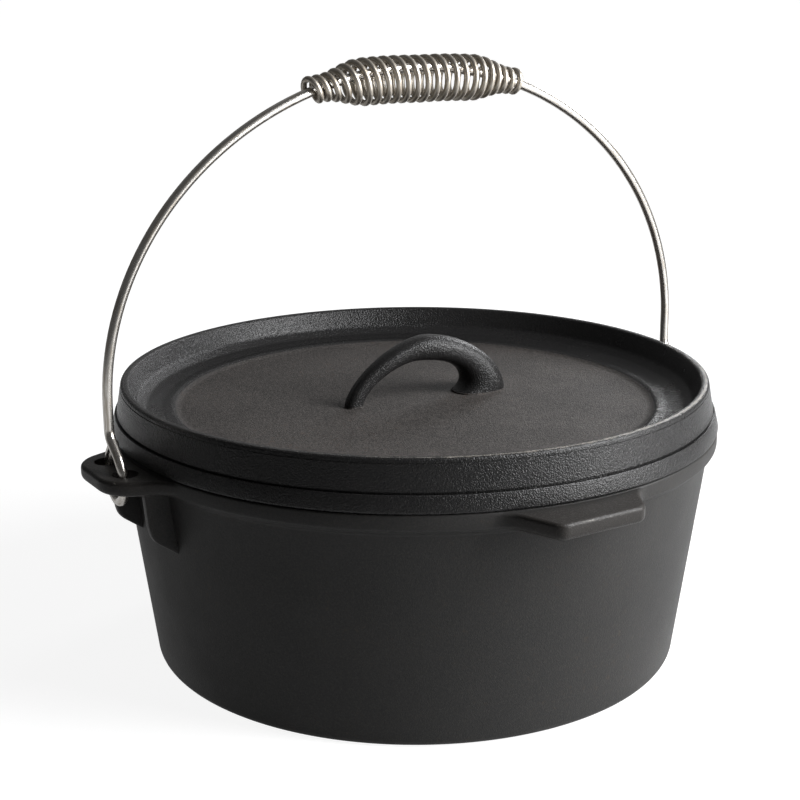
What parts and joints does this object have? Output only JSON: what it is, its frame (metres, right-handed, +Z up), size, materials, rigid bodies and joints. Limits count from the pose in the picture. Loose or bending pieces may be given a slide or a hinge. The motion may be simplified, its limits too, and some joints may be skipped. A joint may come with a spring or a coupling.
{
  "type": "camp pot",
  "caption": "Round cast iron camp pot with a dished, arch-handled lid, drilled side ears, a front tab, and a swinging wire bail with a barrel-shaped coil grip.",
  "frame": {"origin": "centre of the pot's flat base, where it rests", "axes": "+Z up along the pot's own axis, X along the two ears and the bail's hinge line, the front tab at -Y"},
  "size_m": [0.3504, 0.3237, 0.2979],
  "materials": {
    "pot_iron": "seasoned, fine sand-cast grain",
    "lid_iron": "seasoned, fine sand-cast grain, crest worn brighter",
    "bail_steel": "bright drawn wire",
    "grip_steel": "dull oiled spring wire"
  },
  "bodies": {
    "pot": {"pot": "pot_iron"},
    "lid": {"lid": "lid_iron"},
    "bail": {"bail": "bail_steel"},
    "grip": {"coil_grip": "grip_steel"}
  },
  "joints": [
    {"name": "lid_lift", "type": "slide", "parent": "pot", "child": "lid", "axis": [0, 0, 1], "range_m": [0, 0.05]},
    {"name": "bail_swing", "type": "hinge", "parent": "pot", "child": "bail", "pos_m": [0, 0, 0.1153], "axis": [1, 0, 0], "range_deg": [-50, 50]},
    {"name": "grip_slide", "type": "hinge", "parent": "bail", "child": "grip", "pos_m": [0, 0, 0.1068], "axis": [0, 1, 0], "range_deg": [-2.5, 2.5]}
  ]
}
